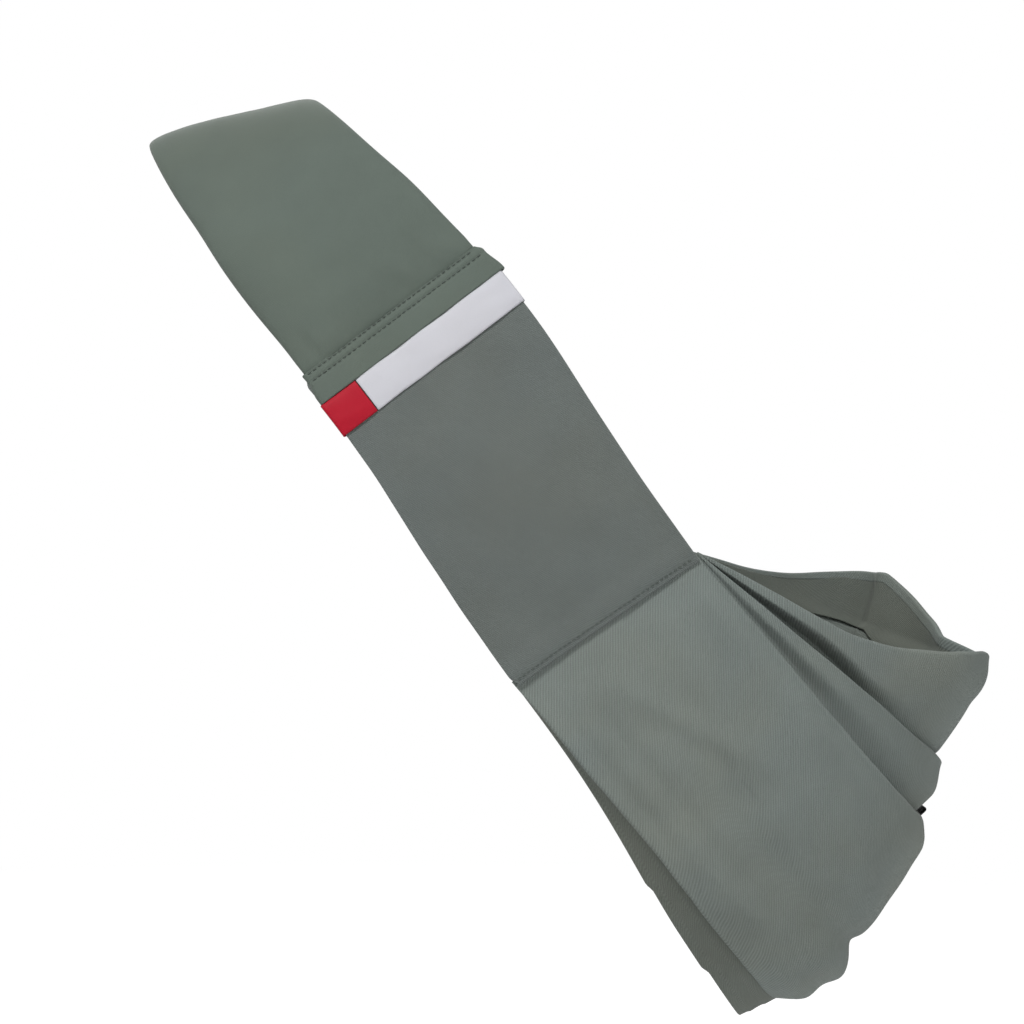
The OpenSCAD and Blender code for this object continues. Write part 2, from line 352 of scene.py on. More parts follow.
def stitches(name, rows, slot_name, body, nodes=(), **look):
    verts, faces = [], []
    for k, (points, out) in enumerate(rows):
        more, links = stitch_row(points, out, seed=k + 1, **look)
        faces += [[i + len(verts) for i in f] for f in links]
        verts += more
    obj = piece_from(name, verts, faces)
    return dress(obj, slot_name, body, *nodes)


# ---- Materials ----

def add_node(tree, kind, settings=(), **values):
    node = tree.nodes.new(kind)
    for key, value in dict(settings).items():
        setattr(node, key, value)
    for key, value in values.items():
        socket = node.inputs[int(key[1:])] if key[0] == "i" and key[1:].isdigit() else node.inputs[key]
        if isinstance(value, bpy.types.NodeSocket):
            tree.links.new(value, socket)
        else:
            socket.default_value = value
    return node


def maths(tree, operation, *values):
    node = tree.nodes.new("ShaderNodeMath")
    node.operation = operation
    for socket, value in zip(node.inputs, values):
        if isinstance(value, bpy.types.NodeSocket):
            tree.links.new(value, socket)
        else:
            socket.default_value = value
    return node.outputs[0]


def srgb(r, g, b):
    def linear(c):
        c /= 255
        return c / 12.92 if c <= 0.04045 else ((c + 0.055) / 1.055) ** 2.4
    return (linear(r), linear(g), linear(b), 1)


def wave(tree, coordinate, pitch):
    return maths(tree, "SINE", maths(tree, "MULTIPLY", coordinate, 2 * math.pi / (pitch * MM)))


def twill_height(tree, x, y, pitch):
    """Diagonal ribs with the yarn's short steps along each."""
    rib = wave(tree, x, pitch)
    lean = maths(tree, "ADD", y, maths(tree, "MULTIPLY", x, 0.6))
    yarn = wave(tree, lean, pitch * 0.8)
    shaped = maths(tree, "MULTIPLY", rib, maths(tree, "MULTIPLY_ADD", yarn, 0.28, 0.72))
    return maths(tree, "MULTIPLY_ADD", shaped, 0.5, 0.5)


def plain_height(tree, x, y, pitch):
    """Over and under in a chequer of yarns."""
    woven = maths(tree, "MULTIPLY", wave(tree, x, pitch), wave(tree, y, pitch))
    return maths(tree, "MULTIPLY_ADD", woven, 0.5, 0.5)


def satin_height(tree, x, y, pitch):
    """Long floats along one direction."""
    line = wave(tree, x, pitch)
    float_end = wave(tree, maths(tree, "ADD", y, maths(tree, "MULTIPLY", x, 2.3)), pitch * 3)
    shaped = maths(tree, "ADD", maths(tree, "MULTIPLY", line, 0.7), maths(tree, "MULTIPLY", float_end, 0.3))
    return maths(tree, "MULTIPLY_ADD", shaped, 0.5, 0.5)


def cloth(name, colour, weave, pitch, contrast, relief, rough, sheen, turn=0.0, mottle=0.05, shift=0.03):
    material = bpy.data.materials.new(name)
    material.use_nodes = True
    tree = material.node_tree
    tree.nodes.clear()
    uv = add_node(tree, "ShaderNodeUVMap", {"uv_map": "weave"})
    turned = add_node(tree, "ShaderNodeMapping", Vector=uv.outputs[0], Rotation=(0, 0, turn * RAD))
    place = add_node(tree, "ShaderNodeTexCoord")
    slack = add_node(tree, "ShaderNodeTexNoise", Vector=place.outputs["Object"], Scale=45.0, Detail=2.0)
    bend = add_node(tree, "ShaderNodeVectorMath", {"operation": "MULTIPLY_ADD"},
                    i0=slack.outputs["Color"], i1=(0.0007, 0.0007, 0), i2=turned.outputs[0])
    axes = add_node(tree, "ShaderNodeSeparateXYZ", i0=bend.outputs[0])
    height = weave(tree, axes.outputs[0], axes.outputs[1], pitch)
    fibre = add_node(tree, "ShaderNodeTexNoise", Vector=place.outputs["Object"], Scale=2600.0, Detail=3.0)
    fuzzy = maths(tree, "MULTIPLY_ADD", fibre.outputs[0], 0.6, maths(tree, "MULTIPLY", height, 0.6))

    dark = tuple(c * (1 - contrast) for c in colour[:3]) + (1,)
    light = tuple(min(1, c * (1 + contrast)) for c in colour[:3]) + (1,)
    yarn = add_node(tree, "ShaderNodeMix", {"data_type": "RGBA"}, i0=fuzzy, i6=dark, i7=light)
    patch = add_node(tree, "ShaderNodeTexNoise", Vector=place.outputs["Object"], Scale=11.0, Detail=3.0)
    warm = tuple(c * k for c, k in zip(colour[:3], (1 + shift, 1 + shift * 0.4, 1 - shift))) + (1,)
    cool = tuple(c * k for c, k in zip(colour[:3], (1 - shift, 1, 1 + shift))) + (1,)
    tone_at = add_node(tree, "ShaderNodeMapRange", Value=patch.outputs[0],
                       **{"From Min": 0.38, "From Max": 0.62})
    tone = add_node(tree, "ShaderNodeMix", {"data_type": "RGBA"}, i0=tone_at.outputs[0], i6=cool, i7=warm)
    over = add_node(tree, "ShaderNodeMix", {"data_type": "RGBA"}, i0=0.45, i6=yarn.outputs[2], i7=tone.outputs[2])
    cloud = add_node(tree, "ShaderNodeTexNoise", Vector=place.outputs["Object"], Scale=26.0, Detail=4.0)
    shade = add_node(tree, "ShaderNodeMapRange", Value=cloud.outputs[0],
                     **{"From Min": 0.3, "From Max": 0.7, "To Min": 1 - mottle, "To Max": 1 + mottle})
    final = add_node(tree, "ShaderNodeVectorMath", {"operation": "SCALE"},
                     i0=over.outputs[2], Scale=shade.outputs[0])
    raised = add_node(tree, "ShaderNodeBump", Height=fuzzy, Strength=relief, Distance=0.0004)
    wear = add_node(tree, "ShaderNodeMapRange", Value=fuzzy, **{"To Min": rough, "To Max": rough - 0.08})
    shader = add_node(tree, "ShaderNodeBsdfPrincipled", Roughness=wear.outputs[0],
                      Normal=raised.outputs[0], **{"Base Color": final.outputs[0]})
    shader.inputs["Sheen Weight"].default_value = sheen
    shader.inputs["Sheen Roughness"].default_value = 0.45
    shader.inputs["Specular IOR Level"].default_value = 0.25
    out = add_node(tree, "ShaderNodeOutputMaterial")
    tree.links.new(shader.outputs[0], out.inputs[0])
    return material


PAD_GREEN = srgb(95, 105, 97)
CANVAS_GREY = srgb(102, 108, 105)
TWILL_GREY = srgb(119, 126, 121)
MATERIALS = {
    "pad_fabric": cloth("pad_fabric", PAD_GREEN, satin_height, 0.6, 0.14, 0.4, 0.84, 0.14),
    "canvas": cloth("canvas", CANVAS_GREY, twill_height, 0.95, 0.5, 0.8, 0.92, 0.08, 24),
    "lining_fabric": cloth("lining_fabric", srgb(92, 98, 94), plain_height, 0.8, 0.18, 0.5, 0.93, 0.06),
    "twill": cloth("twill", TWILL_GREY, twill_height, 1.4, 0.6, 1.0, 0.9, 0.08, 0, 0.07, 0.05),
    # The same twill made darker: painted shade for the pouch's bottom, inner wall and the rail's inner leaf, which
    # lie in shadow.
    "lining_twill": cloth("lining_twill", srgb(104, 109, 102), twill_height, 1.4, 0.5, 0.9, 0.93, 0.05),
    "ribbon": cloth("ribbon", srgb(203, 203, 209), satin_height, 0.5, 0.05, 0.3, 0.6, 0.1, 0, 0.02, 0.01),
    "ribbon_end": cloth("ribbon_end", srgb(172, 2, 34), satin_height, 0.5, 0.14, 0.3, 0.6, 0.02, 0, 0.04, 0.01),
    "webbing": cloth("webbing", srgb(20, 20, 21), twill_height, 1.2, 0.3, 0.7, 0.75, 0.05),
    "tab_thread": cloth("tab_thread", srgb(24, 24, 25), satin_height, 0.4, 0.3, 0.5, 0.7, 0.05),
    "thread": cloth("thread", srgb(82, 90, 84), satin_height, 0.3, 0.2, 0.5, 0.7, 0.1),
    "foam": cloth("foam", srgb(228, 225, 212), plain_height, 1.5, 0.06, 0.6, 0.95, 0.0),
}

# ---- Shoulder pad ----

def pad_width(angle):
    return STRAP_W - 3 - (STRAP_W - 3 - PAD_W) * crest_share(angle)


def pad_edges(angle):
    """Left and right half widths of the pad, which wander a little on the front."""
    reach = LOOP_A * (1 - np.cos(angle))
    crest = crest_share(angle)
    half = pad_width(angle) / 2
    front = np.where(np.asarray(angle) > 0, 1.0, 0.0)
    left = half - front * (1.2 * bump(reach, 128, 24) + 0.8 * bump(reach, 52, 16)) - 2 * crest
    right = half - 5 * crest + 1.5 * front * bump(reach, 92, 26)
    return left, right


def build_pad():
    rows, top_count, floor_count = 230, 96, 40
    last = float(reach_angle(PAD_SEWN))
    angles = last * np.sin(math.pi / 2 * np.linspace(-1, 1, rows))
    turn = np.linspace(math.pi, 0, top_count)
    c = np.sign(np.cos(turn)) * np.abs(np.cos(turn)) ** 0.62
    s = np.sin(turn).clip(0) ** 0.62
    rings, uvs = [], []
    along = 0.0
    before = None
    for angle in angles:
        reach = LOOP_A * (1 - math.cos(angle))
        front = 1 if angle > 0 else 0
        crest = float(crest_share(angle))
        half_left, half_right = (float(k) for k in pad_edges(angle))
        high = 1.5 + (PAD_H - 1.5 - 4 * crest) * (1 - (abs(angle) / last) ** 11) ** 0.62
        across = np.where(c < 0, half_left * c, half_right * c)
        side = 5 if front else 9
        puff = 0.7 * ripple(across / 90, (reach + 200 * front) / 110, side)
        near_hem = bump(reach, PAD_SEWN - 9, 13)
        pucker = 0.75 * near_hem * ripple(across / 17, reach / 60, side + 1)
        crease = 0.35 * ripple(across / 38 + reach / 90, reach / 30, side + 2)
        height = FACE_Z + s * (high + (puff + pucker + crease) * min(1, high / 6))
        floor_across = np.linspace(half_right - 1.2, -half_left + 1.2, floor_count)
        floor_height = np.full(floor_count, FACE_Z - 0.1)
        ring = loop_point(angle, np.concatenate([across, floor_across]), np.concatenate([height, floor_height]))
        centre = loop_point(angle, 0, high)
        along += 0 if before is None else float(np.linalg.norm(centre - before))
        before = centre
        girth = np.concatenate([[0], np.cumsum(np.linalg.norm(np.diff(ring, axis=0), axis=1))])
        rings.append(ring)
        uvs.append(np.stack([girth, np.full(len(girth), along)], -1))
    obj = tube("pad", np.array(rings), np.array(uvs))
    dress(obj, "pad_fabric", "root", "pad_cover", "pad_foam")
    return obj


def build_pad_lining():
    angles = HEM_ANGLE * np.sin(math.pi / 2 * np.linspace(-1, 1, 160))
    share = np.linspace(0, 1, 50)
    rows = []
    for angle in angles:
        left, right = pad_edges(angle)
        reach = LOOP_A * (1 - math.cos(angle))
        across = mix(0.8 - left, right - 0.8, share)
        rows.append(loop_point(angle, across, 0.55 + 0.25 * ripple(share * 2, reach / 60, 21)))
    return sheet("pad_lining", np.array(rows), 0.9, "lining_fabric", "root", ["pad_lining"])


PAD_SEWN = PAD_REACH - 17
HEM_ROW = PAD_REACH - 12.5


def hem_left(reach):
    return STRAP_W / 2 - 1.2 + 1.8 * smooth((reach - 145) / 8) - 1.0 * bump(reach, 151, 3.5)


def hem_right(reach):
    return STRAP_W / 2 - 1.6 + 3.0 * smooth((reach - 141) / 5) + 2.2 * smooth((reach - 147) / 13)


def hem_height(reach):
    sewn = bump(reach, PAD_SEWN, 1.5) + bump(reach, HEM_ROW, 1.3)
    return TRIM_Z + 0.75 - 0.55 * sewn + 0.25 * bump(reach, 155, 5)


def hem_place(reach, across, extra):
    wave = 0.22 * ripple(across / 22, reach / 25, 31)
    return loop_point(reach_angle(reach), across, hem_height(reach) + wave + extra)


def wrapped_band(path, left, right, height, low, tuck, count=70, seed=0, wander=0.0):
    """Rows of a band that wraps both strap edges; path gives [reach, inset] and inset folds its end in."""
    rows = []
    for reach, inset in path:
        section = wrap_section(left(reach) - inset, right(reach) - inset,
                               height(reach) - inset, low + inset, tuck, count)
        lift = wander * ripple(section[:, 0] / 22, reach / 25, seed) * (section[:, 1] > TRIM_Z - 1)
        rows.append(loop_point(reach_angle(reach), section[:, 0], section[:, 1] + lift))
    return np.array(rows)


def end_fold(start, end, steps, radius, tuck):
    flat = np.stack([np.linspace(start, end - radius, steps), np.zeros(steps)], -1)
    path = fold_path(flat * [1, 1], radius, tuck, 6)
    path[:, 1] = -path[:, 1]
    return path


def build_pad_hem(side):
    path = end_fold(PAD_SEWN - 1.2, PAD_REACH, 40, 0.35, 5)
    mid = wrapped_band(path, hem_left, hem_right, hem_height, -0.7, 9, 90, 31, 0.22)
    return sheet(f"{side}_pad_hem", SIDES[side](mid), 0.8, "pad_fabric", "root",
                 [f"{side}_pad_hem"])


def build_hem_threads(side):
    rows = []
    for reach in (PAD_SEWN + 0.2, HEM_ROW):
        across = np.linspace(-hem_left(reach) + 2, hem_right(reach) - 2, 160)
        spots = hem_place(np.full(160, reach) + 0.12 * ripple(across / 30, 0, 8), across, 0.42)
        out = hem_place(np.full(160, reach), across, 1.42) - hem_place(np.full(160, reach), across, 0.42)
        rows.append((SIDES[side](spots), SIDES[side](out)))
    return stitches(f"{side}_hem_threads", rows, "thread", "root", [f"{side}_hem_threads"], radius=0.32, rise=0.45)


# ---- Strap ----

def edge_wander(reach, seed):
    return 0.45 * ripple(reach / 75, 0, seed)


def strap_start(reach):
    return 4 * (1 - smooth((reach - PAD_SEWN + 2) / 8))


def strap_left(reach):
    return STRAP_W / 2 + edge_wander(reach, 3) - 1.6 * bump(reach, SEAM_REACH - 1, 2.5) - strap_start(reach)


def strap_right(reach):
    return STRAP_W / 2 + edge_wander(reach, 4) - strap_start(reach)


def strap_height(reach):
    """Middle of the strap's outer layer: it climbs over the pouch's sewn-in edge at the seam."""
    return FACE_Z + 0.5 + 1.4 * smooth((reach - SEAM_REACH + 17) / 12)


def seam_slant(reach, across):
    """The seam runs a little less steeply than the strap's width."""
    return 4.6 * (across / STRAP_W + 0.5).clip(0, 1.1) ** 1.4 * smooth((reach - SEAM_REACH + 80) / 80)


def strap_place(reach, across, extra):
    height = strap_height(reach)
    reach = reach + seam_slant(reach, across)
    drape = 0.3 * ripple(across / 55, reach / 90, 41) + 0.12 * ripple(across / 16, reach / 30, 42)
    ease = smooth((STRAP_W / 2 - np.abs(across)) / 8)
    return loop_point(reach_angle(reach), across, height + drape * ease + extra)


def build_strap_face(side):
    flat = np.stack([np.linspace(FOAM_END + 1, SEAM_REACH - 0.2, 150), np.zeros(150)], -1)
    path = fold_path(flat, 0.6, 4, 6)
    rows = []
    for reach, drop in path:
        section = wrap_section(strap_left(reach), strap_right(reach), 0, -0.95, 8, 90)
        rows.append(strap_place(np.full(len(section), reach), section[:, 0], section[:, 1] + drop))
    return sheet(f"{side}_strap_face", SIDES[side](np.array(rows)), 0.8, "canvas", "root",
                 [f"{side}_strap_face"])


def build_strap_lining(side):
    reaches = np.linspace(FOAM_END + 1, SEAM_REACH - 4, 110)
    share = np.linspace(-1, 1, 50)
    rows = []
    for reach in reaches:
        across = share * (STRAP_W / 2 - 1 - strap_start(reach))
        rows.append(loop_point(reach_angle(reach), across, 0.3 + 0.12 * ripple(across / 40, reach / 60, 44)))
    mid = np.array(rows)
    return sheet(f"{side}_strap_lining", SIDES[side](mid), 0.7, "lining_fabric", "root",
                 [f"{side}_strap_lining"])


def build_seam_hem(side):
    reaches = np.linspace(SEAM_REACH - 15, SEAM_REACH - 4.6, 14)
    across = np.linspace(-STRAP_W / 2 + 10, STRAP_W / 2 - 10, 40)
    mid = np.array([strap_place(np.full(40, r), across, -1.05) for r in reaches])
    return sheet(f"{side}_seam_hem", SIDES[side](mid), 0.6, "canvas", "root",
                 [f"{side}_seam_hem"])


def build_seam_thread(side):
    reach = SEAM_REACH - 2.6
    across = np.linspace(-STRAP_W / 2 + 2, STRAP_W / 2 - 2, 160)
    spots = strap_place(np.full(160, reach) + 0.15 * ripple(across / 35, 0, 9), across, 0.42)
    out = strap_place(np.full(160, reach), across, 1.42) - spots
    return stitches(f"{side}_seam_thread", [(SIDES[side](spots), SIDES[side](out))], "thread", "root",
                    [f"{side}_seam_thread"], radius=0.27, rise=0.4, length=2.3, gap=0.6)


# ---- Label ribbon ----

LABEL_START = PAD_REACH + GAP
LABEL_HALF = STRAP_W / 2 + 1.4
LABEL_RED_W = LABEL_RED_SHARE * 2 * LABEL_HALF


def label_height(reach, across):
    middle = (reach - LABEL_START - LABEL_W / 2) / (LABEL_W / 2)
    puff = 0.9 * (1 - middle ** 4) + 0.25 * ripple(across / 20, reach / 18, 51)
    return TRIM_Z + 0.1 + puff


def build_label(name, slot_name, across0, across1, nodes):
    section = wrap_section(LABEL_HALF, LABEL_HALF, TRIM_Z, -0.7, 7, 120)
    cut = (section[:, 0] >= across0) & (section[:, 0] <= across1)
    section = section[cut]
    rows = []
    for reach in np.linspace(LABEL_START, LABEL_START + LABEL_W, 24):
        skew = 0.25 * ripple(section[:, 0] / 45, 0, 52)
        on_top = np.clip((section[:, 1] + 0.7) / (TRIM_Z + 0.7), 0, 1)
        height = mix(section[:, 1], label_height(reach, section[:, 0]), on_top)
        rows.append(loop_point(reach_angle(reach + skew), section[:, 0], height))
    return sheet(name, np.array(rows), 0.5, slot_name, "root", nodes)


# ---- Pouch ----

def band(first, last, tuck_first, tuck_last, count):
    """Columns of a band of cloth whose edges fold under: place, and how a fold's radius shifts and sinks it."""
    turn = np.linspace(-math.pi / 2, math.pi / 2, 11)[1:-1]
    step = np.sign(last - first)
    parts = []
    if tuck_first:
        leaf = np.linspace(tuck_first, 0, 7)
        parts.append(np.stack([first + step * leaf, np.ones(7), np.full(7, -2)], -1))
        parts.append(np.stack([np.full(9, first), 1 - np.cos(turn), np.sin(turn) - 1], -1))
    lead_in = 1.0 if tuck_first else 0.0
    lead_out = -1.0 if tuck_last else 0.0
    parts.append(np.stack([np.linspace(first, last, count), np.linspace(lead_in, lead_out, count),
                           np.zeros(count)], -1))
    if tuck_last:
        leaf = np.linspace(0, tuck_last, 7)
        parts.append(np.stack([np.full(9, last), np.cos(turn[::-1]) - 1, np.sin(turn[::-1]) - 1], -1))
        parts.append(np.stack([last - step * leaf, -np.ones(7), np.full(7, -2)], -1))
    place, shift, sink = np.concatenate(parts).T
    return place, shift * step, sink


def from_seams(distance, whole):
    """Distance from the nearer of the two seams."""
    return np.minimum(distance, whole - distance)


def panel_drop(v):
    """How far the panel's lower fold hangs below the strap's line."""
    return 9 * plan_reach(v) ** 2


def build_outer_panel():
    vs, whole = even_steps(PANEL_LOWER, -SEAM_Y, 300)
    at = np.linspace(0, whole, 300)
    leads = np.linspace(3.5, 0.6, 4)
    v = np.concatenate([np.zeros(4), vs, np.ones(4)])[:, None]
    lead = np.concatenate([leads, np.zeros(300), leads[::-1]])[:, None]
    run = np.concatenate([-leads, at, whole + leads[::-1]])[:, None]
    free = smooth(from_seams(run, whole) / 26)
    place, shift, sink = band(-STRAP_W / 2, STRAP_W / 2, 16, 16, 110)
    radius = mix(0.3, 1.6, free)
    hip = bump(v, 0.5, 0.17)
    top = smooth((place - STRAP_W * 0.28) / (STRAP_W * 0.22))
    across = place + shift * radius + 5.5 * hip * top
    across = across + 0.5 * free * ripple(run / 60, place / 400, 61) * np.sign(place)
    across = across - panel_drop(v) * smooth(-place * 2 / STRAP_W)
    q = place / STRAP_W + 0.5
    soft = 2.0 * ripple(run / 190, place / 130, 62) + 1.3 * ripple(run / 75 + place / 90, place / 60, 63)
    side = np.minimum(run, whole - run)
    drag = 1.7 * bump(place, 0.35 * side - 27, 8) * bump(side, 70, 42)
    drag = drag - 1.5 * bump(place, 25 - 0.3 * side, 13) * bump(side, 105, 45)
    drag = drag + 1.9 * bump(place, 0.12 * side - 58, 7) * bump(side, 195, 50)
    soft = 1.5 * (soft + drag)
    top_roll = 1.2 * bump(q, 0.93, 0.06)
    low_ridge = top_roll + 1.5 * bump(q, 0.13, 0.05) * smooth(run / 60) * smooth((whole - run) / 60)
    valley = -1.1 * bump(q, 0.21, 0.05) * smooth(run / 60)
    belly = 2.2 * np.sin(math.pi * q.clip(0, 1)) ** 0.8
    flat_part = smooth(q / 0.08) * smooth((1 - q) / 0.08)
    height = mix(0.95, 3.7, free) + sink * radius
    height = height + free * flat_part * (soft + low_ridge + valley + belly) * (sink > -0.5)
    points = panel_point(v, across, height, lead)
    tip = hip * np.clip((across - STRAP_W / 2 + 3) / 8, 0, 1.2) ** 2
    away = (3.5 * hip + 9 * tip)[..., None] * down_dir(PANEL_ANGLE)
    points = points - away
    length = run + 0 * place
    start = loop_point(SEAM_ANGLE, across, 0)
    uv = np.stack([start[..., 0] + length * math.cos(PANEL_ANGLE * RAD),
                   start[..., 2] - length * math.sin(PANEL_ANGLE * RAD)], -1)
    return sheet("pouch_outer_panel", points, 1.0, "twill", "root", ["pouch_outer_panel"], uv=uv)


def bottom_point(v, height):
    start = loop_point(SEAM_ANGLE, -STRAP_W / 2, 0) * [1, 0, 1]
    v, height = np.broadcast_arrays(np.asarray(v, float), np.asarray(height, float))
    out = plan_reach(v)
    edge = 1.6 * smooth((out - 0.55) / 0.03) + 1.8 * smooth((out - 0.8) / 0.03)
    angle = BOTTOM_ANGLE - 4.5 * (1 - smooth(out / 0.7)) - edge / (BOTTOM_REACH * out + 1) / RAD + 0.9
    point = start + (BOTTOM_REACH * out + height)[..., None] * down_dir(angle)
    point[..., 1] = -(WALL_DEPTH + height) * plan_depth(v)
    return point


def wall_rim_point(v, height):
    v, height = np.broadcast_arrays(np.asarray(v, float), np.asarray(height, float))
    point = np.zeros(v.shape + (3,))
    point[..., 0] = FAN_X - 2 + (WALL_BULGE + height) * plan_reach(v)
    point[..., 1] = -(WALL_DEPTH + height) * plan_depth(v)
    point[..., 2] = FAN_Z - WALL_DROP - WALL_DIP * plan_reach(v)
    return point


def build_pouch_bottom():
    vs, whole = even_steps(BOTTOM_REACH, WALL_DEPTH, 260)
    v = vs[:, None]
    t = np.linspace(0, 1, 34)
    run = np.linspace(0, whole, 260)[:, None]
    free = smooth(from_seams(run, whole) / 30)
    low = bottom_point(v, TWILL_T / 2 + GAP + 0 * t)
    high = panel_point(v, -STRAP_W / 2 + 2.5 - panel_drop(v), 0.3 + 0 * t)
    mid = mix(low, high, t[:, None])
    steps = 0.0
    for place, deep in ((0.2, 1.5), (0.6, 1.0)):
        wander = place + 0.04 * ripple(run / 90, 0, 71)
        steps = steps + deep * (smooth((t - wander) / 0.08) - smooth((t - wander) / 0.4))
    loose = free * (steps * (1 - bump(v, 0.5, 0.06)) + 0.7 * ripple(run / 80, t / 2, 72) * np.sin(math.pi * t))
    mid = mid + loose[..., None] * np.array([0.75, 0, -0.66])
    flat = run[..., None] * mix(down_dir(BOTTOM_ANGLE), down_dir(PANEL_ANGLE) * 1.04, t[:, None])
    uv = flat[..., ::2]
    # Darker twill here: painted shade on the bottom layer, set back under the panel's lower fold.
    return sheet("pouch_bottom", mid, 1.0, "lining_twill", "root", ["pouch_bottom"], uv=uv)


def build_inner_wall():
    vs, whole = even_steps(BOTTOM_REACH, WALL_DEPTH, 240)
    v = vs[:, None]
    run = np.linspace(0, whole, 240)[:, None]
    t = np.concatenate([np.linspace(0, 1, 60), np.full(7, 1.0)])
    turn = np.linspace(0, math.pi, 8)[1:]
    rise = np.concatenate([np.zeros(60), 1.1 * np.sin(turn)])
    back = np.concatenate([np.zeros(60), 1.1 * (np.cos(turn) - 1)])
    free = smooth(from_seams(run, whole) / 40)
    wave = free * (2.2 * ripple(run / 150, t * 1.1, 81) + 0.8 * ripple(run / 50, t * 3, 82))
    height = TWILL_T / 2 + back + wave * np.sin(math.pi * t.clip(0, 1)).clip(0.12, 1)
    mid = mix(bottom_point(v, height), wall_rim_point(v, height), t[:, None])
    mid[..., 2] += rise
    uv = np.stack([run + 0 * t, 190 * t + 0 * run], -1)
    # Darker twill here: painted shade on the inner wall inside the pouch's mouth.
    return sheet("pouch_inner_wall", mid, 1.0, "lining_twill", "root", ["pouch_inner_wall"], uv=uv)


def fan_layer(name, radius_at, depth_at, low, rim, fold, tuck, slot_name, body, count, seed, soft, start=None):
    """A pleat about the fan's axis. low and rim give its edges along v, in degrees below the horizontal."""
    vs, whole = even_steps(RAIL_R, RAIL_DEPTH, 300)
    v = vs[:, None]
    run = np.linspace(0, whole, 300)[:, None]
    place, shift, sink = band(0.0, 1.0, 0, tuck, count)
    angle0, angle1 = low(v), rim(v) + 0.35 * ripple(run / 45, 0, seed)
    one = fold / RAIL_R / RAD
    angle = mix(angle0, angle1, place) - shift * one
    near = smooth(plan_reach(v) * 3)
    offset = sink * fold * (0.25 + 0.75 * near)
    free = smooth(from_seams(run, whole) / 45)
    wave = free * (soft * ripple(run / 120, angle / 34, seed + 1) + 0.2 * ripple(run / 40, angle / 12, seed + 2))
    wave = wave * (sink > -0.5) - 0.6 * free * soft
    radius = radius_at(v, angle) + offset + wave
    depth = depth_at(v, angle) + offset + wave
    mid = fan_point(v, angle, radius, depth)
    uv = np.stack([run * np.cos(angle * RAD), -run * np.sin(angle * RAD)], -1)
    return sheet(name, mid, 0.95, slot_name, body, [name], uv=uv)


def pleat_radius(v, angle):
    return PLEAT_R - 10.5 + 8.5 * smooth((angle - PLEAT_RIDGE + 0.5) / 6)


def pleat_depth_at(v, angle):
    front = bump(plan_reach(v) * PLEAT_R, 90, 58) * (v < 0.5)
    return PLEAT_DEPTH - 0.5 - 5 * front * smooth((angle - 43) / 6)


def rail_rim(v):
    """Angle of the rail's rim: low behind the pleat, up to the crease at the back, level to the seam."""
    front = RIM_FRONT + 6.5 + 1.5 * bump(v, 0.12, 0.05) - 7.5 * smooth((v - 0.14) / 0.27) - 1.4 * bump(v, 0.3, 0.09)
    climb = np.clip((v - 0.5) / 0.24, 0, 1) ** 1.6
    rear = mix(RIM_FRONT - 1, RIM_REAR + 1.5, climb) + 8.5 * smooth((v - 0.8) / 0.15)
    return np.where(v < 0.5, front, rear)


def rail_radius(v, angle):
    tip = 8 * (1 - smooth((angle - 18) / 9)) * bump(v, 0.5, 0.15)
    sag = 20 * smooth((v - 0.5) / 0.05) * (1 - smooth((v - 0.745) / 0.055)) * (1 - smooth((angle - 22) / 24))
    tuck = 5.6 * smooth((angle - 21.5) / 7.5) * smooth((plan_reach(v) - 0.45) / 0.3)
    behind = 6 * smooth((angle - 21) / 4) * smooth((v - 0.46) / 0.06)
    dent = 12 * bump(v, 0.42, 0.12) * smooth((angle - 38) / 8)
    return RAIL_R - 3.5 - tip - sag - dent - np.maximum(tuck, behind)


def rail_depth_at(v, angle):
    """The rail dives in behind the pleat's ridge, most of all midway along the front."""
    front = bump(plan_reach(v) * RAIL_R, 88, 58) * (v < 0.5)
    inward = smooth((plan_reach(v) - 0.4) / 0.25)
    dive = 12 * front * smooth((angle - 32.5 - 2.5 * inward) / 5)
    crease = 6 * bump(v, 0.745, 0.035) * (1 - smooth((angle - 20) / 30))
    lean = 7 * ((30 - angle) / 10).clip(0, 1) ** 2 * smooth(plan_reach(v) * 2) * (1 - smooth((v - 0.5) / 0.1))
    return RAIL_DEPTH - 1.9 - dive - crease - lean


LAYER_GAP = 1.0
PLEAT_DEPTH = -SEAM_Y - LAYER_GAP
RAIL_DEPTH = PLEAT_DEPTH - TWILL_T - LAYER_GAP
LEAF_GAP = 0.8
WALL_GAP = 3.0
WALL_DEPTH = RAIL_DEPTH - TWILL_T - LEAF_GAP - TWILL_T - WALL_GAP
PLEAT_LOW = 66.0
RAIL_LOW = 60.0
LEAF_ANGLE = 16.0
PLEAT_LIFT = 4.0
WALL_BULGE = 24.0
WALL_DROP = 4.0
WALL_DIP = 28.0


def build_middle_pleat():
    def rim(v):
        return PLEAT_RIDGE - PLEAT_LIFT * smooth((v - 0.45) / 0.3)
    return fan_layer("middle_pleat", pleat_radius, pleat_depth_at, lambda v: PLEAT_LOW + 0 * v, rim,
                     0.85, 0.2, "twill", "middle_pleat", 70, 91, 0.3)


def build_top_rail():
    return fan_layer("top_rail", rail_radius, rail_depth_at, lambda v: RAIL_LOW + 0 * v, rail_rim,
                     1.15, 0.04, "twill", "top_rail", 90, 95, 0.5)


def build_rail_leaf():
    def inner_radius(v, angle):
        return rail_radius(v, angle) - 2.35
    def inner_depth(v, angle):
        return rail_depth_at(v, angle) - 2.35
    # The leaf takes the darker twill: painted shade inside the pouch's mouth.
    return fan_layer("rail_inner_leaf", inner_radius, inner_depth, lambda v: rail_rim(v) + LEAF_ANGLE,
                     lambda v: rail_rim(v) + 1.9, 0.3, 0, "lining_twill", "top_rail", 40, 95, 0.5)


# ---- Black webbing tab ----

TAB_W = 12.0
TAB_Y = 12.0


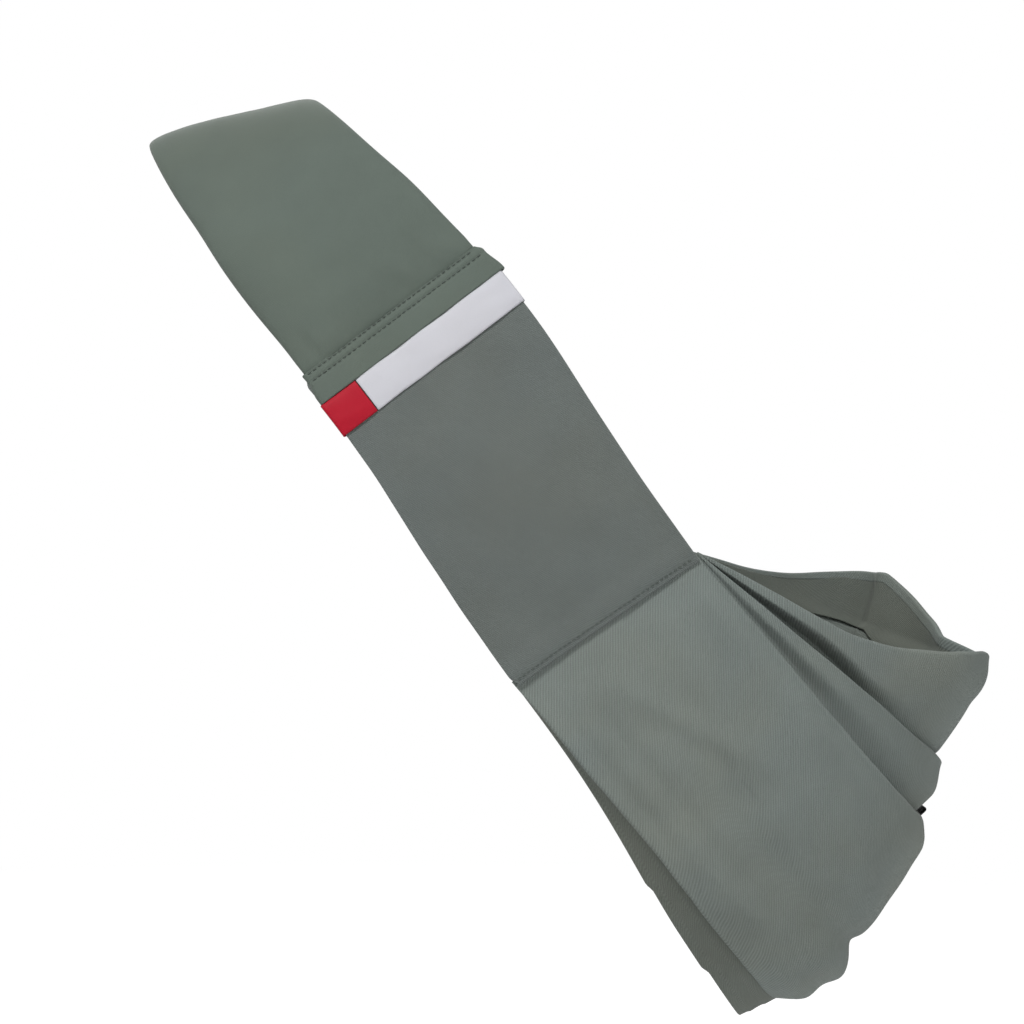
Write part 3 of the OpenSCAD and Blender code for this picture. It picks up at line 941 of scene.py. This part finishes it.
def build_tab():
    top_angle = PANEL_ANGLE - 2.4
    radius = PANEL_UPPER - 7.0
    leaf = np.linspace(PANEL_ANGLE + 5.0, top_angle, 16)
    turn = np.linspace(math.pi / 2, -math.pi / 2, 9)[1:-1]
    one = 1.05 / radius / RAD
    outer = np.stack([leaf, np.full(16, 2.1)], -1)
    bend = np.stack([top_angle - one * np.cos(turn), 1.05 + 1.05 * np.sin(turn)], -1)
    inner = np.stack([leaf[::-1], np.zeros(16)], -1)
    path = np.concatenate([outer, bend, inner])
    ys = np.linspace(TAB_Y - TAB_W / 2, TAB_Y + TAB_W / 2, 16)
    rows = []
    for angle, lift in path:
        point = (radius + lift) * down_dir(angle) + [FAN_X, 0, FAN_Z]
        rows.append(np.stack([np.full(16, point[0]), ys, np.full(16, point[2])], -1))
    return sheet("webbing_tab", np.array(rows), 0.95, "webbing", "root", ["webbing_tab"])


def build_bartack():
    radius = PANEL_UPPER - 7.0 - 0.55
    rows = []
    for angle in (PANEL_ANGLE + 3.2, PANEL_ANGLE + 3.5, PANEL_ANGLE + 3.8):
        ys = np.linspace(TAB_Y - TAB_W / 2 + 1, TAB_Y + TAB_W / 2 - 1, 60)
        point = radius * down_dir(angle) + [FAN_X, 0, FAN_Z]
        spots = np.stack([np.full(60, point[0]), ys, np.full(60, point[2])], -1)
        rows.append((spots, np.tile(-down_dir(angle), (60, 1))))
    return stitches("tab_bartack", rows, "tab_thread", "root", ["tab_bartack"], radius=0.25, length=1.8, gap=0.2)


build_pad()
build_pad_lining()
for side in SIDES:
    build_strap_face(side)
    build_strap_lining(side)
    build_seam_hem(side)
    build_seam_thread(side)
    build_pad_hem(side)
    build_hem_threads(side)
build_label("label_ribbon", "ribbon", -LABEL_HALF + LABEL_RED_W, 1e3, ["label_ribbon"])
build_label("label_end", "ribbon_end", -1e3, -LABEL_HALF + LABEL_RED_W, ["label_end"])
build_outer_panel()
build_pouch_bottom()
build_inner_wall()
build_middle_pleat()
build_top_rail()
build_rail_leaf()
build_tab()
build_bartack()

# ---- Stage, light and camera ----

BACKGROUND_WHITE = 1.0


def seen_directly(tree):
    """1 for camera, glossy and transmission rays, 0 for the rays that light the object."""
    path = add_node(tree, "ShaderNodeLightPath")
    glossy = maths(tree, "MAXIMUM", path.outputs["Is Glossy Ray"], path.outputs["Is Transmission Ray"])
    return maths(tree, "MAXIMUM", path.outputs["Is Camera Ray"], glossy)


def floor_material():
    """Matt white that takes the object's shadow, and fades to the background's white further out."""
    material = bpy.data.materials.new("floor_white")
    material.use_nodes = True
    tree = material.node_tree
    tree.nodes.clear()
    seen = seen_directly(tree)
    matt = add_node(tree, "ShaderNodeBsdfDiffuse", Color=(0.8, 0.8, 0.8, 1))
    lift = add_node(tree, "ShaderNodeEmission", Strength=maths(tree, "MULTIPLY", seen, 0.5))
    near = add_node(tree, "ShaderNodeAddShader", i0=matt.outputs[0], i1=lift.outputs[0])
    white = add_node(tree, "ShaderNodeEmission", Strength=BACKGROUND_WHITE)
    place = add_node(tree, "ShaderNodeNewGeometry")
    far = add_node(tree, "ShaderNodeVectorMath", {"operation": "LENGTH"}, i0=place.outputs["Position"])
    fade = add_node(tree, "ShaderNodeMapRange", Value=far.outputs["Value"], **{"From Min": 0.9, "From Max": 1.7})
    share = maths(tree, "MULTIPLY", fade.outputs[0], seen)
    shown = add_node(tree, "ShaderNodeMixShader", i0=share, i1=near.outputs[0], i2=white.outputs[0])
    out = add_node(tree, "ShaderNodeOutputMaterial")
    tree.links.new(shown.outputs[0], out.inputs[0])
    return material


def build_room(ambient):
    world = bpy.data.worlds.new("room")
    bpy.context.scene.world = world
    world.use_nodes = True
    tree = world.node_tree
    strength = maths(tree, "MULTIPLY_ADD", seen_directly(tree), BACKGROUND_WHITE - ambient, ambient)
    sky = tree.nodes["Background"]
    sky.inputs["Color"].default_value = (1, 1, 1, 1)
    tree.links.new(strength, sky.inputs["Strength"])


def area_light(name, place, target, size, watts, tint=(1, 1, 1)):
    data = bpy.data.lights.new(name, "AREA")
    data.shape = "DISK"
    data.size = size
    data.energy = watts
    data.color = tint
    lamp = bpy.data.objects.new(name, data)
    lamp.location = place
    lamp.rotation_euler = (Vector(target) - Vector(place)).to_track_quat("-Z", "Y").to_euler()
    bpy.context.scene.collection.objects.link(lamp)
    return lamp


bpy.ops.mesh.primitive_plane_add(size=16, location=(0, 0, -0.62))
floor = bpy.context.object
floor.name = "floor"
floor.data.materials.append(floor_material())
build_room(0.18)

AIM = (0.16, 0, -0.22)
area_light("key", (-0.9, -2.0, 2.6), AIM, 1.1, 88)
area_light("fill", (2.1, -2.0, -0.1), AIM, 1.8, 15)
area_light("front", (0.5, -3.2, -0.3), AIM, 1.6, 10)
area_light("back", (-0.6, 2.6, 1.3), AIM, 1.6, 30)

lens = bpy.data.cameras.new("camera")
lens.sensor_width = 36
lens.lens = 18 / math.tan(math.radians(21.54) / 2)
camera = bpy.data.objects.new("camera", lens)
camera.location = (0.1543, -1.516, -0.215)
camera.rotation_euler = (math.pi / 2, 0, 0)
bpy.context.scene.collection.objects.link(camera)
bpy.context.scene.camera = camera
bpy.context.scene.view_settings.view_transform = "Standard"
